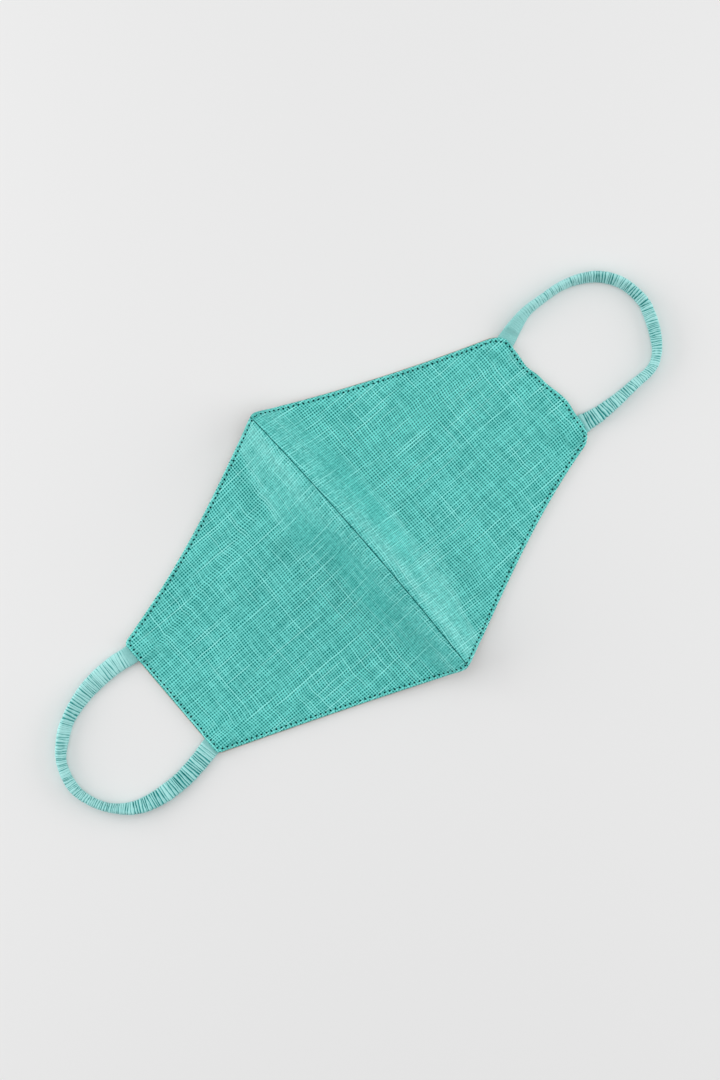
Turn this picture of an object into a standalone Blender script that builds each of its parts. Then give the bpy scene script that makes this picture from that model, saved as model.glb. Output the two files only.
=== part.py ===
"""Cloth face mask, lying outside up on the plane z = 0.

Two linen panels meet at a raised centre seam, each over a lining panel of the same cut.
A gathered strap loop leaves each ear edge, its tails sewn in between linen and lining.
Metres, +Z up, +Y towards the nose tip, +X towards the right ear edge as seen from in front.
"""

import math

import bmesh
import bpy
from mathutils import Vector

# Cut of the mask
SEAM_LENGTH = 0.1553
LEFT_WIDTH = 0.1144
RIGHT_WIDTH = 0.1157
SEAM_SHIFT = 0.0005
SEAM_BOW = 0.0018
SEAM_LEAN = 0.0011
TIP_ROUND = 0.0020
EAR_WAVE = 0.0021

# Form of the mask as it lies
RIDGE_HEIGHT = 0.0262
TIP_HEIGHT = 0.0112
RIDGE_POWER = 1.7
SLOPE_AT_TIPS = 0.0140
SLOPE_LEFT = 0.0290
SLOPE_RIGHT = 0.0250
RUNOUT_AT_TIPS = 0.0520
RUNOUT_MIDDLE = 0.0820

# Cloth
LINEN_WALL = 0.0010
LINING_WALL = 0.0010
CLEARANCE = 0.0003

# Strap loops
STRAP_WIDTH = 0.0088
STRAP_THICKNESS = 0.0034
TAIL_THICKNESS = 0.0012
TAIL_LENGTH = 0.0085
TAIL_EASE = 0.0040
LEFT_REACH = 0.0618
RIGHT_REACH = 0.0595
GATHER_PITCH = 0.0024
GATHER_DEPTH = 0.0005

# Place of the seam's middle on the way to the nose tip, in shares of half the seam
MIDDLE_SHARE = 0.006
# Place of the ridge's peak between the middle of the seam (0) and the nose tip (1)
PEAK_SHARE = 0.18
# Part of the ridge's height that falls away slowly, over the run-out
RUNOUT_SHARE = 0.27
# Sideways place of the two tips, in shares of the seam bow
NOSE_TIP_SHARE = 0.85
CHIN_TIP_SHARE = 0.05

# One row for each long edge: the height of its ear corner and the depth of its hollow
# are shares of half the seam, lean moves the hollow to the ear, round is the corner's
# radius as a share of the strap width
EDGE_COLUMNS = ("corner", "hollow", "lean", "round")
EDGE_ROWS = {
    ("nose", "left"): (0.451, 0.045, 1.2, 0.26),
    ("chin", "left"): (0.425, 0.008, 0.8, 0.26),
    ("nose", "right"): (0.395, 0.033, 0.9, 0.62),
    ("chin", "right"): (0.426, 0.044, 1.5, 0.40),
}

# Waves of the right ear edge: height as a share of the corner's, and the edge's
# way out as a share of the ear wave
WAVE_COLUMNS = ("height", "out")
WAVE_ROWS = ((1.0, -0.60), (0.66, -0.65), (0.42, -1.00), (0.12, -0.20),
             (-0.38, 0.95), (-0.62, 0.25), (-1.0, 0.30))

# Dents and soft folds in the panels: x as a share of the panel's width, y as a share of
# half the seam, length and width as shares of the slope's width, turn in degrees,
# height as a share of the ridge's, below zero for a dent
FOLD_COLUMNS = ("x", "y", "length", "width", "turn", "height")
FOLD_ROWS = (
    (-0.155, 0.06, 0.42, 0.30, 20.0, -0.075),
    (-0.330, 0.33, 0.85, 0.32, 12.0, 0.035),
    (0.300, -0.10, 0.90, 0.35, -30.0, 0.030),
    (-0.480, -0.22, 1.10, 0.45, 60.0, 0.022),
    (0.520, 0.20, 1.00, 0.45, 75.0, 0.022),
)

# Way of each strap from its nose tail to its chin tail: out is a share of the reach past
# the ear edge, or below zero of the tail's length inside it, up is a share of half the
# distance between the tails, and roll the angle in degrees that lifts the outer edge
STRAP_COLUMNS = ("out", "up", "roll")
STRAP_ROWS = {
    "left": (
        (-1.000, 1.000, 0.0), (0.020, 1.000, 0.0), (0.156, 1.050, 4.0),
        (0.338, 1.058, 8.0), (0.520, 0.988, 20.0), (0.703, 0.846, 36.0),
        (0.825, 0.660, 48.0), (0.930, 0.370, 58.0), (0.990, -0.040, 62.0),
        (0.970, -0.420, 58.0), (0.878, -0.735, 50.0), (0.734, -0.975, 38.0),
        (0.550, -1.100, 20.0), (0.338, -1.124, 4.0), (0.156, -1.074, 8.0),
        (0.020, -1.008, 0.0), (-1.000, -0.975, 0.0),
    ),
    "right": (
        (-1.000, 0.900, 0.0), (0.000, 0.990, 0.0), (0.095, 1.080, 14.0),
        (0.237, 1.162, 46.0), (0.395, 1.164, 62.0), (0.585, 1.115, 62.0),
        (0.760, 0.965, 50.0), (0.885, 0.744, 47.0), (0.968, 0.417, 48.0),
        (1.000, 0.011, 44.0), (0.972, -0.253, 40.0), (0.905, -0.606, 45.0),
        (0.812, -0.889, 58.0), (0.696, -1.030, 66.0), (0.522, -1.053, 60.0),
        (0.332, -1.060, 44.0), (0.142, -1.037, 14.0), (0.016, -1.000, 0.0),
        (-1.000, -0.980, 0.0),
    ),
}
# Distance from each ear corner to its tail's centre, in strap widths
TAIL_INSET = {("nose", "left"): 0.70, ("chin", "left"): 0.54,
              ("nose", "right"): 0.46, ("chin", "right"): 0.82}

# Mesh of each piece
PANEL_COLUMNS = 17
PANEL_ROWS = 20
COLUMN_POWER = 1.55
ARC_COLUMNS = 3
STRAP_SIDES = 8
SECTION_POWER = 2.5

HALF_SEAM = SEAM_LENGTH / 2
SEAM_MIDDLE = MIDDLE_SHARE * HALF_SEAM
WIDTH = {"left": LEFT_WIDTH, "right": RIGHT_WIDTH}
SIGN = {"left": -1.0, "right": 1.0}
SLOPE = {"left": SLOPE_LEFT, "right": SLOPE_RIGHT}
REACH = {"left": LEFT_REACH, "right": RIGHT_REACH}
STACK = LINING_WALL + CLEARANCE + LINEN_WALL
TAIL_LIFT = TAIL_THICKNESS + CLEARANCE


def edge_row(end, side):
    """The named values of one long edge."""
    return dict(zip(EDGE_COLUMNS, EDGE_ROWS[(end, side)]))


def eased(share):
    """A share held between 0 and 1, with soft ends."""
    share = min(max(share, 0.0), 1.0)
    return share * share * (3 - 2 * share)


def between(rows, place):
    """Smooth value at a place in rows of (place, value), which run downwards."""
    if place >= rows[0][0]:
        return rows[0][1]
    for (high, high_value), (low, low_value) in zip(rows, rows[1:]):
        if place >= low:
            share = eased((high - place) / (high - low))
            return high_value + (low_value - high_value) * share
    return rows[-1][1]


def seam_x(y):
    """The seam's sideways place: it bows and leans towards +X."""
    share = y / HALF_SEAM
    return SEAM_SHIFT + SEAM_BOW * (1 - share * share) - SEAM_LEAN * share


def corner_y(end, side):
    """Height of an ear corner, below zero on the chin side."""
    height = edge_row(end, side)["corner"] * HALF_SEAM
    return SEAM_MIDDLE + (height if end == "nose" else -height)


def ear_x(side, y):
    """The ear edge's place, straight on the left and wavy on the right."""
    if side == "left":
        return -LEFT_WIDTH
    end = "nose" if y > 0 else "chin"
    share = abs(y / corner_y(end, side))
    share = share if y > 0 else -share
    return RIGHT_WIDTH + EAR_WAVE * between(WAVE_ROWS, share)


def edge_y(end, x):
    """Height of the nose or chin edge at x, with its rounded tip, hollow and ear corner."""
    tip_x = SEAM_BOW * (NOSE_TIP_SHARE if end == "nose" else CHIN_TIP_SHARE)
    side = "left" if x < tip_x else "right"
    row = edge_row(end, side)
    span = abs(SIGN[side] * WIDTH[side] - tip_x)
    away = math.hypot(x - tip_x, TIP_ROUND) - TIP_ROUND
    share = min(away / (math.hypot(span, TIP_ROUND) - TIP_ROUND), 1.0)
    deepest = row["lean"] / (row["lean"] + 1)
    hollow = share ** row["lean"] * (1 - share) / (deepest ** row["lean"] * (1 - deepest))
    height = HALF_SEAM * (1 - (1 - row["corner"]) * share - row["hollow"] * hollow)
    radius = row["round"] * STRAP_WIDTH
    inside = max(WIDTH[side] - abs(x), 0.0)
    if inside < radius:
        height -= radius - math.sqrt(radius ** 2 - (radius - inside) ** 2)
    return SEAM_MIDDLE + (height if end == "nose" else -height)


def tail_place(end, side):
    """Where a strap's centre line crosses the ear edge."""
    y = corner_y(end, side)
    y -= math.copysign(TAIL_INSET[(end, side)] * STRAP_WIDTH, y)
    return ear_x(side, y), y


def strap_half_span(side):
    """Middle and half distance of the strap's two tails."""
    nose = tail_place("nose", side)[1]
    chin = tail_place("chin", side)[1]
    return (nose + chin) / 2, (nose - chin) / 2


def strap_rows(side):
    """The strap's way in metres, with the roll in radians."""
    middle, half = strap_half_span(side)
    rows = []
    for values in STRAP_ROWS[side]:
        row = dict(zip(STRAP_COLUMNS, values))
        out = row["out"] * (REACH[side] if row["out"] > 0 else TAIL_LENGTH)
        x = SIGN[side] * (WIDTH[side] + out)
        rows.append((x, middle + row["up"] * half, math.radians(row["roll"])))
    return rows


def ridge(x, y):
    """Height of the outer cloth above where it lies flat."""
    peak_y = PEAK_SHARE * HALF_SEAM
    reach = HALF_SEAM - peak_y if y > peak_y else HALF_SEAM + peak_y
    rise = 1 - min(abs(y - peak_y) / reach, 1.0) ** RIDGE_POWER
    top = TIP_HEIGHT + (RIDGE_HEIGHT - TIP_HEIGHT) * rise - STACK
    away = x - seam_x(y)
    side = "left" if away < 0 else "right"
    slope = SLOPE_AT_TIPS + (SLOPE[side] - SLOPE_AT_TIPS) * rise
    runout = RUNOUT_AT_TIPS + (RUNOUT_MIDDLE - RUNOUT_AT_TIPS) * rise
    steep = max(1 - (away / slope) ** 2, 0.0) ** 2
    slow = max(1 - (away / runout) ** 2, 0.0) ** 2
    return top * ((1 - RUNOUT_SHARE) * steep + RUNOUT_SHARE * slow)


def folds(x, y):
    """The dents and soft folds in the panels."""
    total = 0.0
    for values in FOLD_ROWS:
        row = dict(zip(FOLD_COLUMNS, values))
        side = "left" if row["x"] < 0 else "right"
        turn = math.radians(row["turn"])
        dx = x - row["x"] * WIDTH[side]
        dy = y - row["y"] * HALF_SEAM
        along = (dx * math.cos(turn) + dy * math.sin(turn)) / (row["length"] * SLOPE[side])
        across = (dy * math.cos(turn) - dx * math.sin(turn)) / (row["width"] * SLOPE[side])
        swell = max(1 - (along * along + across * across) / 2.5, 0.0) ** 2
        total += row["height"] * RIDGE_HEIGHT * swell
    return total


def tail_line(side, edge_index, inner_index):
    """A sewn-in tail's centre line, from the ear edge to its inner end."""
    rows = strap_rows(side)
    return Vector(rows[edge_index][:2]), Vector(rows[inner_index][:2])


TAIL_LINES = [tail_line(side, edge, inner)
              for side in ("left", "right") for edge, inner in ((1, 0), (-2, -1))]


def tail_rise(x, y):
    """How far the linen is lifted over the strap tails sewn in beneath it."""
    rise = 0.0
    for edge, inner in TAIL_LINES:
        tail = inner - edge
        away = Vector((x, y)) - edge
        past_end = away.dot(tail) / tail.length - tail.length - CLEARANCE
        past_side = abs(away.cross(tail)) / tail.length - STRAP_WIDTH / 2
        ease = (1 - eased(past_end / TAIL_EASE)) * (1 - eased(past_side / TAIL_EASE))
        rise = max(rise, TAIL_LIFT * ease)
    return rise


def outer_height(x, y):
    """Height of the linen's outer face."""
    return STACK + max(ridge(x, y) + folds(x, y), 0.0)


def skin_point(x, y, depth, height):
    """The point at a depth below the outer face, along its normal."""
    step = 0.0002
    slope_x = (height(x + step, y) - height(x - step, y)) / (2 * step)
    slope_y = (height(x, y + step) - height(x, y - step)) / (2 * step)
    if abs(x - seam_x(y)) < CLEARANCE:
        slope_x = 0.0
    normal = Vector((-slope_x, -slope_y, 1.0)).normalized()
    return Vector((x, y, height(x, y))) - normal * depth


def column_shares(side):
    """Places of the panel's columns from the seam (0) to the ear edge (1)."""
    arc = max(edge_row(end, side)["round"] for end in ("nose", "chin")) * STRAP_WIDTH
    main = PANEL_COLUMNS - ARC_COLUMNS - 2
    reach = WIDTH[side] - TAIL_LENGTH - TAIL_EASE
    places = [reach * (i / main) ** COLUMN_POWER for i in range(main + 1)]
    places.append(WIDTH[side] - TAIL_LENGTH - CLEARANCE)
    for i in range(ARC_COLUMNS + 1):
        places.append(WIDTH[side] - arc * (1 - math.sin(math.radians(90 * i / ARC_COLUMNS))))
    return [place / WIDTH[side] for place in places]


def panel_xy(side, across, along):
    """Plan position at a share across (seam to ear) and along (chin 0 to nose 1)."""
    x, y = SIGN[side] * WIDTH[side] * across, 0.0
    for _ in range(6):
        start = seam_x(y) + SIGN[side] * CLEARANCE / 2
        x = start + (ear_x(side, y) - start) * across
        chin, nose = edge_y("chin", x), edge_y("nose", x)
        y = chin + (nose - chin) * along
    return x, y


def new_object(name, bm, material):
    """A scene object from a finished bmesh."""
    bmesh.ops.recalc_face_normals(bm, faces=bm.faces[:])
    mesh = bpy.data.meshes.new(name)
    bm.to_mesh(mesh)
    bm.free()
    mesh.materials.append(material)
    mesh.shade_smooth()
    mesh.set_sharp_from_angle(angle=math.radians(50))
    thing = bpy.data.objects.new(name, mesh)
    bpy.context.scene.collection.objects.link(thing)
    return thing


def cloth_panel(name, side, depth, wall, height, material):
    """One closed wall of cloth: a grid skin at a depth, extruded to its inner face."""
    bm = bmesh.new()
    bmesh.ops.create_grid(bm, x_segments=PANEL_COLUMNS, y_segments=PANEL_ROWS, size=0.5)
    plan = {}
    shares = column_shares(side)
    for vert in bm.verts:
        column = round((vert.co.x + 0.5) * PANEL_COLUMNS)
        row = round((vert.co.y + 0.5) * PANEL_ROWS)
        plan[vert] = panel_xy(side, shares[column], row / PANEL_ROWS)
        vert.co = (plan[vert][0], plan[vert][1], 0.0)
    outer = list(bm.verts)
    extruded = bmesh.ops.extrude_face_region(bm, geom=bm.faces[:], use_keep_orig=True)
    inner = [item for item in extruded["geom"] if isinstance(item, bmesh.types.BMVert)]
    for vert in inner:
        vert.co = skin_point(vert.co.x, vert.co.y, depth + wall, height)
    for vert in outer:
        vert.co = skin_point(plan[vert][0], plan[vert][1], depth, height)
    return new_object(name, bm, material)


def smooth_path(rows, count):
    """Points spaced evenly along a smooth curve through the rows."""
    fine = []
    steps = 24
    for i in range(len(rows) - 1):
        before, here = rows[max(i - 1, 0)], rows[i]
        there, after = rows[i + 1], rows[min(i + 2, len(rows) - 1)]
        for k in range(steps):
            t = k / steps
            fine.append([
                0.5 * (2 * b + (c - a) * t + (2 * a - 5 * b + 4 * c - d) * t * t
                       + (3 * b - a - 3 * c + d) * t ** 3)
                for a, b, c, d in zip(before, here, there, after)])
    fine.append(list(rows[-1]))
    lengths = [0.0]
    for a, b in zip(fine, fine[1:]):
        lengths.append(lengths[-1] + math.dist(a[:2], b[:2]))
    path = []
    place = 0
    for k in range(count + 1):
        target = lengths[-1] * k / count
        while place < len(fine) - 2 and lengths[place + 1] < target:
            place += 1
        share = (target - lengths[place]) / (lengths[place + 1] - lengths[place])
        path.append([a + (b - a) * share for a, b in zip(fine[place], fine[place + 1])])
    return path, lengths[-1]


def strap(name, side, material):
    """A gathered strap: sections swept along its way, alternately full and drawn in."""
    rows = strap_rows(side)
    length = smooth_path(rows, 400)[1]
    rings = 2 * round(length / GATHER_PITCH)
    path = smooth_path(rows, rings)[0]
    tail_z = LINING_WALL + CLEARANCE + TAIL_THICKNESS / 2
    bm = bmesh.new()
    loops = []
    for k, (x, y, roll) in enumerate(path):
        ahead = path[min(k + 1, rings)]
        behind = path[max(k - 1, 0)]
        forward = Vector((ahead[0] - behind[0], ahead[1] - behind[1], 0.0)).normalized()
        outward = Vector((forward.y, -forward.x, 0.0)) * -SIGN[side]
        up = Vector((0.0, 0.0, 1.0))
        past_edge = min(
            SIGN[side] * (x + outward.x * half - ear_x(side, y + outward.y * half))
            for half in (-STRAP_WIDTH / 2, 0.0, STRAP_WIDTH / 2))
        free = eased((past_edge - CLEARANCE) / TAIL_EASE)
        drawn = GATHER_DEPTH * free * (k % 2)
        half_width = STRAP_WIDTH / 2 - drawn / 2
        full = TAIL_THICKNESS + (STRAP_THICKNESS - TAIL_THICKNESS) * free
        half_thick = full / 2 - drawn
        wide = outward * math.cos(roll) + up * math.sin(roll)
        thick = up * math.cos(roll) - outward * math.sin(roll)
        rest = math.hypot(STRAP_WIDTH / 2 * math.sin(roll), full / 2 * math.cos(roll))
        centre = Vector((x, y, tail_z + (rest - tail_z) * free))
        loop = []
        for i in range(STRAP_SIDES):
            angle = 2 * math.pi * i / STRAP_SIDES
            across = math.copysign(abs(math.cos(angle)) ** (2 / SECTION_POWER), math.cos(angle))
            through = math.copysign(abs(math.sin(angle)) ** (2 / SECTION_POWER), math.sin(angle))
            point = centre + wide * half_width * across + thick * half_thick * through
            point.z = max(point.z, 0.0)
            loop.append(bm.verts.new(point))
        loops.append(loop)
    for first, second in zip(loops, loops[1:]):
        for i in range(STRAP_SIDES):
            j = (i + 1) % STRAP_SIDES
            bm.faces.new((first[i], first[j], second[j], second[i]))
    bm.faces.new(loops[0])
    bm.faces.new(loops[-1])
    return new_object(name, bm, material)


def fabric(name, colour, roughness):
    """A plain fabric material."""
    material = bpy.data.materials.new(name)
    material.use_nodes = True
    shader = material.node_tree.nodes["Principled BSDF"]
    shader.inputs["Base Color"].default_value = (*colour, 1.0)
    shader.inputs["Roughness"].default_value = roughness
    shader.inputs["Metallic"].default_value = 0.0
    return material


for old in list(bpy.data.objects):
    bpy.data.objects.remove(old, do_unlink=True)

linen = fabric("linen", (0.11, 0.52, 0.46), 0.85)
lining = fabric("lining", (0.62, 0.56, 0.47), 0.90)
strap_cloth = fabric("strap_cloth", (0.26, 0.64, 0.62), 0.80)


def linen_height(x, y):
    """Outer face of the linen, with the rise over the strap tails."""
    return outer_height(x, y) + tail_rise(x, y)


for hand in ("left", "right"):
    cloth_panel("panel_" + hand, hand, 0.0, LINEN_WALL, linen_height, linen)
    cloth_panel("lining_" + hand, hand, LINEN_WALL + CLEARANCE, LINING_WALL, outer_height, lining)
    strap("ear_loop_" + hand, hand, strap_cloth)
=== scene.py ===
import math
import random

import bpy
import numpy as np
from mathutils import Euler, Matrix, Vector, noise


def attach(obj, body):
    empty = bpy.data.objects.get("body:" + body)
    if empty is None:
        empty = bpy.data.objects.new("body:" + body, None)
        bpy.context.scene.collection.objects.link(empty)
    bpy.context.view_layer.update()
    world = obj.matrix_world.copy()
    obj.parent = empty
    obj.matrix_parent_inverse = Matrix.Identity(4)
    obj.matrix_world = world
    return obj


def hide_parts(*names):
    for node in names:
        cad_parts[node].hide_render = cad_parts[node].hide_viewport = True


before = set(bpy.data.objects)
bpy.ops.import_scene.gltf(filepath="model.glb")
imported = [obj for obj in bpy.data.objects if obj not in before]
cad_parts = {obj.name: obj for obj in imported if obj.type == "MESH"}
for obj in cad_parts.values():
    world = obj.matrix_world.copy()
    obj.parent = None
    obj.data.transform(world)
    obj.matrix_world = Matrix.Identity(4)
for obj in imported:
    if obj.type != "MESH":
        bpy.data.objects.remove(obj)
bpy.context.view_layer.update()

MM = 0.001
scene = bpy.context.scene

# The mask lies on a plain white studio table. Two large softboxes stand low at the left and
# right of the picture, and a pale room fills the shadows.
picture_turn = math.radians(-40.3)
picture_right = Vector((math.cos(picture_turn), math.sin(picture_turn), 0.0))
picture_up = Vector((-math.sin(picture_turn), math.cos(picture_turn), 0.0))

table_reach = 3.0
table_mesh = bpy.data.meshes.new("table")
table_mesh.from_pydata(
    [(x * table_reach, y * table_reach, 0.0) for x, y in ((-1, -1), (1, -1), (1, 1), (-1, 1))],
    [], [(0, 1, 2, 3)])
table = bpy.data.objects.new("table", table_mesh)
scene.collection.objects.link(table)
table_paint = bpy.data.materials.new("white table")
table_paint.use_nodes = True
table_shader = table_paint.node_tree.nodes["Principled BSDF"]
table_shader.inputs["Base Color"].default_value = (0.84, 0.84, 0.84, 1.0)
table_shader.inputs["Roughness"].default_value = 0.9
table_shader.inputs["Specular IOR Level"].default_value = 0.1
table_mesh.materials.append(table_paint)


class Wire:
    """A socket in a material's tree. Arithmetic on it adds Math nodes."""

    def __init__(self, socket):
        self.socket = socket

    def node(self, kind, settings=None, inputs=None, output=0):
        """Add any other node: its settings first, then its sockets' values or links."""
        tree = self.socket.id_data
        new = tree.nodes.new(kind)
        for key, value in (settings or {}).items():
            setattr(new, key, value)
        for key, value in (inputs or {}).items():
            if isinstance(value, Wire):
                tree.links.new(value.socket, new.inputs[key])
            else:
                new.inputs[key].default_value = value
        return Wire(new.outputs[output])

    def math(self, operation, *values):
        return self.node("ShaderNodeMath", {"operation": operation}, dict(enumerate(values)))

    def __add__(self, other):
        return self.math("ADD", self, other)

    def __mul__(self, other):
        return self.math("MULTIPLY", self, other)

    def __sub__(self, other):
        return self.math("SUBTRACT", self, other)

    def __rsub__(self, other):
        return self.math("SUBTRACT", other, self)

    def __truediv__(self, other):
        return self.math("DIVIDE", self, other)

    __radd__ = __add__
    __rmul__ = __mul__

    def whole(self):
        return self.math("FLOOR", self)

    def size(self):
        return self.math("ABSOLUTE", self)

    def between(self, low, high):
        """Rises smoothly from 0 at low to 1 at high."""
        return self.node("ShaderNodeMapRange", {"interpolation_type": "SMOOTHSTEP"},
                         {"Value": self, "From Min": low, "From Max": high})

    def vector(self, y, z=0.0):
        return self.node("ShaderNodeCombineXYZ", None, {"X": self, "Y": y, "Z": z})

    def noise(self, scale, detail=0.0):
        """Smooth noise at this vector, from 0 to 1."""
        return self.node("ShaderNodeTexNoise", {"noise_dimensions": "3D"},
                         {"Vector": self, "Scale": scale, "Detail": detail})

    def mixed(self, first, second):
        """Two colours mixed by this factor."""
        return self.node("ShaderNodeMix", {"data_type": "RGBA"}, {0: self, 6: first, 7: second}, 2)


softbox_distance = 0.95
softbox_height = 0.32
softbox_width = 1.10
softbox_depth = 0.60
softbox_lean = math.radians(8.0)
for name, side, power in (("softbox_left", -1.0, 5.35), ("softbox_right", 1.0, 4.4)):
    softbox_data = bpy.data.lights.new(name, "AREA")
    softbox_data.shape = "RECTANGLE"
    softbox_data.size = softbox_width
    softbox_data.size_y = softbox_depth
    softbox_data.energy = power
    softbox = bpy.data.objects.new(name, softbox_data)
    way = picture_right * side * math.cos(softbox_lean) + picture_up * math.sin(softbox_lean)
    softbox.location = way * softbox_distance + Vector((0, 0, softbox_height))
    softbox.rotation_euler = (-softbox.location).to_track_quat("-Z", "Y").to_euler()
    scene.collection.objects.link(softbox)

room_all_round = 0.30
room_from_above = 0.73
room_lost_near = 0.36
room = bpy.data.worlds.new("pale room")
room.use_nodes = True
room_light = room.node_tree.nodes["Background"]
room_light.inputs["Color"].default_value = (1.0, 1.0, 1.0, 1.0)
sky = room.node_tree.nodes.new("ShaderNodeTexCoord")
sky = Wire(sky.outputs["Generated"])
sky_height = sky.node("ShaderNodeSeparateXYZ", None, {0: sky}, 2)
sky_height = sky_height.math("MAXIMUM", sky_height, 0.0)
sky_near = sky.node("ShaderNodeVectorMath", {"operation": "DOT_PRODUCT"},
                    {0: sky, 1: -picture_up}, 1)
sky_near = sky_near.math("MAXIMUM", sky_near, 0.0)
room_strength = room_all_round + room_from_above * sky_height - room_lost_near * sky_near
room.node_tree.links.new(room_strength.socket, room_light.inputs["Strength"])
scene.world = room
scene.view_settings.view_transform = "Standard"

camera_height = 1.3
camera_over = (0.00127, 0.00077)
frame_height = 0.5076
camera_data = bpy.data.cameras.new("camera")
camera_data.sensor_width = 36.0
camera_data.lens = camera_data.sensor_width * camera_height / frame_height
camera = bpy.data.objects.new("camera", camera_data)
camera.location = (*camera_over, camera_height)
camera.rotation_euler = Euler((0.0, 0.0, picture_turn))
scene.collection.objects.link(camera)
scene.camera = camera


# The cut of the mask: two panels with hollowed nose and chin edges, joined by a bowed seam
# that stands up as a ridge, so that the mask is a shallow tent whose ear ends lie flat.
half_seam = 77.65 * MM
seam_middle = 0.006 * half_seam
panel_width = {"left": 114.4 * MM, "right": 115.7 * MM}
way_out = {"left": -1.0, "right": 1.0}
seam_shift = 0.5 * MM
seam_bow = 1.8 * MM
seam_lean = 1.1 * MM
tip_round = 2.0 * MM
tip_place = {"nose": 0.85, "chin": 0.05}
strap_width = 8.8 * MM
ear_wave = 2.1 * MM
# height as a share of the corner's, place outwards as a share of the wave
ear_wave_rows = ((-1.0, -0.05), (-0.68, 0.32), (-0.38, 0.95), (0.12, -0.20),
                 (0.42, -1.00), (0.66, -0.65), (1.0, -0.60))
# corner height and hollow as shares of half the seam, lean of the hollow to the ear,
# corner radius as a share of the strap's width
edge_cut = {
    ("nose", "left"): (0.451, 0.045, 1.2, 0.26),
    ("chin", "left"): (0.425, 0.008, 0.8, 0.26),
    ("nose", "right"): (0.395, 0.033, 0.9, 0.90),
    ("chin", "right"): (0.426, 0.044, 1.5, 0.66),
}
ridge_height = 26.2 * MM
ridge_power = 1.7
tip_height = 11.2 * MM
peak_y = 0.18 * half_seam
slope_at_tips = 12.0 * MM
slope_width = {"left": 29.0 * MM, "right": 22.5 * MM}
runout_at_tips = 44.0 * MM
runout_middle = 82.0 * MM
runout_share = 0.27
runout_right = 0.74
linen_wall = 1.0 * MM
lining_wall = 1.0 * MM
cloth_gap = 0.3 * MM
stack = linen_wall + cloth_gap + lining_wall
# x as a share of the panel's width, y of half the seam, length and width of the slope's
# width, turn in degrees, height as a share of the ridge's
fold_edge = 2.5
fold_rows = (
    (-0.125, -0.13, 0.70, 0.25, 87.0, -0.150),
    (-0.330, 0.33, 0.85, 0.32, 12.0, 0.035),
    (0.300, -0.10, 0.90, 0.35, -30.0, 0.030),
    (-0.480, -0.22, 1.10, 0.45, 60.0, 0.022),
    (0.520, 0.20, 1.00, 0.45, 75.0, 0.022),
    (0.155, 0.20, 0.55, 0.22, 85.0, -0.035),
    (0.172, -0.386, 0.95, 0.22, 76.0, 0.065),
)


def eased(share):
    """Shares held between 0 and 1, with soft ends."""
    share = np.clip(share, 0.0, 1.0)
    return share * share * (3 - 2 * share)


def seam_x(y):
    share = y / half_seam
    return seam_shift + seam_bow * (1 - share * share) - seam_lean * share


def corner_y(end, side):
    height = edge_cut[(end, side)][0] * half_seam
    return seam_middle + (height if end == "nose" else -height)


def ear_x(side, y):
    """The ear edge's place at the heights y, wavy on the right."""
    y = np.asarray(y, float)
    if side == "left":
        return np.full(y.shape, -panel_width["left"])
    share = np.where(y > 0, y / corner_y("nose", side), -y / corner_y("chin", side))
    out = np.full(y.shape, ear_wave_rows[0][1])
    for (low, low_out), (high, high_out) in zip(ear_wave_rows, ear_wave_rows[1:]):
        inside = (share >= low) & (share <= high)
        way = eased((share - low) / (high - low))
        out = np.where(inside, low_out + (high_out - low_out) * way, out)
    out = np.where(share > 1, ear_wave_rows[-1][1], out)
    return panel_width["right"] + ear_wave * out


def edge_y(end, x):
    """The nose or chin edge's height at the places x."""
    x = np.asarray(x, float)
    tip_x = seam_bow * tip_place[end]
    height = np.zeros(x.shape)
    for side in ("left", "right"):
        corner, hollow, lean, corner_round = edge_cut[(end, side)]
        here = x < tip_x if side == "left" else x >= tip_x
        span = abs(way_out[side] * panel_width[side] - tip_x)
        away = np.hypot(x - tip_x, tip_round) - tip_round
        share = np.clip(away / (math.hypot(span, tip_round) - tip_round), 0.0, 1.0)
        deepest = lean / (lean + 1)
        bend = share ** lean * (1 - share) / (deepest ** lean * (1 - deepest))
        level = half_seam * (1 - (1 - corner) * share - hollow * bend)
        radius = corner_round * strap_width
        inside = np.clip(panel_width[side] - np.abs(x), 0.0, radius)
        level = level - (radius - np.sqrt(radius ** 2 - (radius - inside) ** 2))
        height = np.where(here, level, height)
    return seam_middle + (height if end == "nose" else -height)


def mask_height(x, y):
    """Height of the linen's outer face: ridge, run-out and soft folds."""
    reach = np.where(y > peak_y, half_seam - peak_y, half_seam + peak_y)
    rise = 1 - np.clip(np.abs(y - peak_y) / reach, 0.0, 1.0) ** ridge_power
    top = tip_height + (ridge_height - tip_height) * rise - stack
    away = x - seam_x(y)
    middle_slope = np.where(away < 0, slope_width["left"], slope_width["right"])
    slope = slope_at_tips + (middle_slope - slope_at_tips) * rise
    runout = runout_at_tips + (runout_middle - runout_at_tips) * rise
    runout = runout * np.where(away < 0, 1.0, runout_right)
    steep = np.clip(1 - (away / slope) ** 2, 0.0, None) ** 2
    slow = np.clip(1 - (away / runout) ** 2, 0.0, None) ** 2
    height = top * ((1 - runout_share) * steep + runout_share * slow)
    for place_x, place_y, length, width, turn, rise_share in fold_rows:
        side = "left" if place_x < 0 else "right"
        dx = x - place_x * panel_width[side]
        dy = y - place_y * half_seam
        cos, sin = math.cos(math.radians(turn)), math.sin(math.radians(turn))
        along = (dx * cos + dy * sin) / (length * slope_width[side])
        across = (dy * cos - dx * sin) / (width * slope_width[side])
        swell = np.clip(1 - (along ** 2 + across ** 2) / fold_edge, 0.0, None) ** 2
        height = height + rise_share * ridge_height * swell
    return stack + np.clip(height, 0.0, None)


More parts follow.
